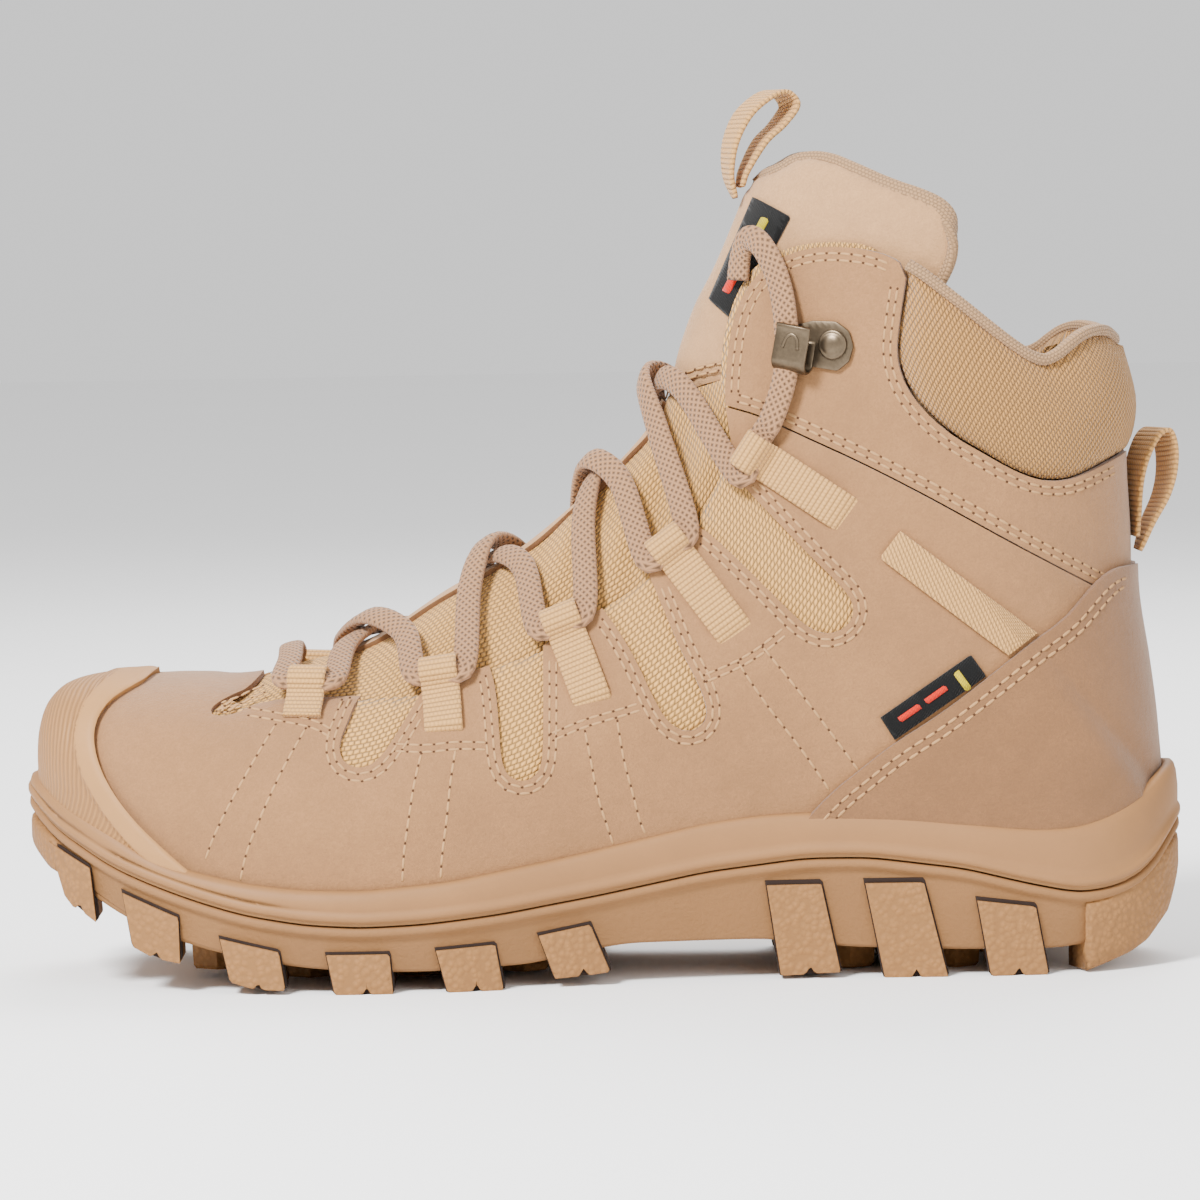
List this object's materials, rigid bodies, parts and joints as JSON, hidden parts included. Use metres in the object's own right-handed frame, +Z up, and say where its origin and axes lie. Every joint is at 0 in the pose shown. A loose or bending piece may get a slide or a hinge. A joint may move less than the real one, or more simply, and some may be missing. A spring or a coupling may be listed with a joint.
{
  "type": "steel toe work boot",
  "caption": "Laced ankle-high work boot for the left foot, with a rubber toe bumper over a steel toe cap, a padded collar, webbing lace loops and a lugged sole.",
  "frame": {"origin": "on the ground, under the middle of the boot", "axes": "+Z up, +X from toe to heel, -Y the outer (lateral) side of a left boot"},
  "size_m": [0.31, 0.1075, 0.2343],
  "materials": {
    "nubuck": "nubuck",
    "cordura": "woven nylon",
    "webbing": "ribbed webbing",
    "knit": "knit",
    "midsole_rubber": "satin moulded",
    "outsole_rubber": "pebbled",
    "nickel": "brushed",
    "lace": "braided",
    "label": "woven label",
    "steel": "bright",
    "fibreboard": "matt board",
    "foam": "foam",
    "footbed": "knit top on foam"
  },
  "bodies": {
    "boot": {"ankle_lining_lateral": "knit", "ankle_lining_medial": "knit", "ankle_panel_lateral": "nubuck", "ankle_panel_medial": "nubuck", "collar_cover": "cordura", "collar_foam": "foam", "collar_piping": "knit", "heel_counter": "fibreboard", "heel_foxing": "nubuck", "heel_lining": "knit", "hook_rivet_lateral": "nickel", "hook_rivet_medial": "nickel", "insole_board": "fibreboard", "lace": "lace", "lace_hook_lateral": "nickel", "lace_hook_medial": "nickel", "lace_loop_lateral_1": "webbing", "lace_loop_lateral_2": "webbing", "lace_loop_lateral_3": "webbing", "lace_loop_lateral_4": "webbing", "lace_loop_lateral_5": "webbing", "lace_loop_medial_1": "webbing", "lace_loop_medial_2": "webbing", "lace_loop_medial_3": "webbing", "lace_loop_medial_4": "webbing", "lace_loop_medial_5": "webbing", "midsole": "midsole_rubber", "outsole": "outsole_rubber", "puncture_plate": "steel", "rear_webbing_lateral": "webbing", "rear_webbing_medial": "webbing", "shank": "steel", "side_label": "label", "side_textile_lateral": "cordura", "side_textile_medial": "cordura", "steel_toe_cap": "steel", "toe_bumper": "midsole_rubber", "tongue_lower": "cordura", "vamp": "nubuck", "vamp_lining": "knit"},
    "tongue_flap": {"tongue_upper": "nubuck", "tongue_lining": "knit", "tongue_label": "label"},
    "tongue_pull_loop": {"tongue_pull": "webbing"},
    "heel_pull_loop": {"heel_pull": "webbing"},
    "loose_insole": {"footbed": "footbed"}
  },
  "joints": [
    {"name": "tongue_tilt", "type": "hinge", "parent": "boot", "child": "tongue_flap", "pos_m": [0.04, 0, 0.155], "axis": [0, 1, 0], "range_deg": [0, 6], "stiffness_Nm_per_rad": 1},
    {"name": "tongue_loop_swing", "type": "hinge", "parent": "tongue_flap", "child": "tongue_pull_loop", "pos_m": [0.0388, 0, 0.207], "axis": [0, 1, 0], "range_deg": [-30, 10], "stiffness_Nm_per_rad": 0.02},
    {"name": "heel_loop_swing", "type": "hinge", "parent": "boot", "child": "heel_pull_loop", "pos_m": [0.1437, 0, 0.111], "axis": [0, 1, 0], "range_deg": [0, 60], "stiffness_Nm_per_rad": 0.02},
    {"name": "insole_lift", "type": "hinge", "parent": "boot", "child": "loose_insole", "pos_m": [-0.141, 0, 0.042], "axis": [0, -1, 0], "range_deg": [0, 8]}
  ]
}
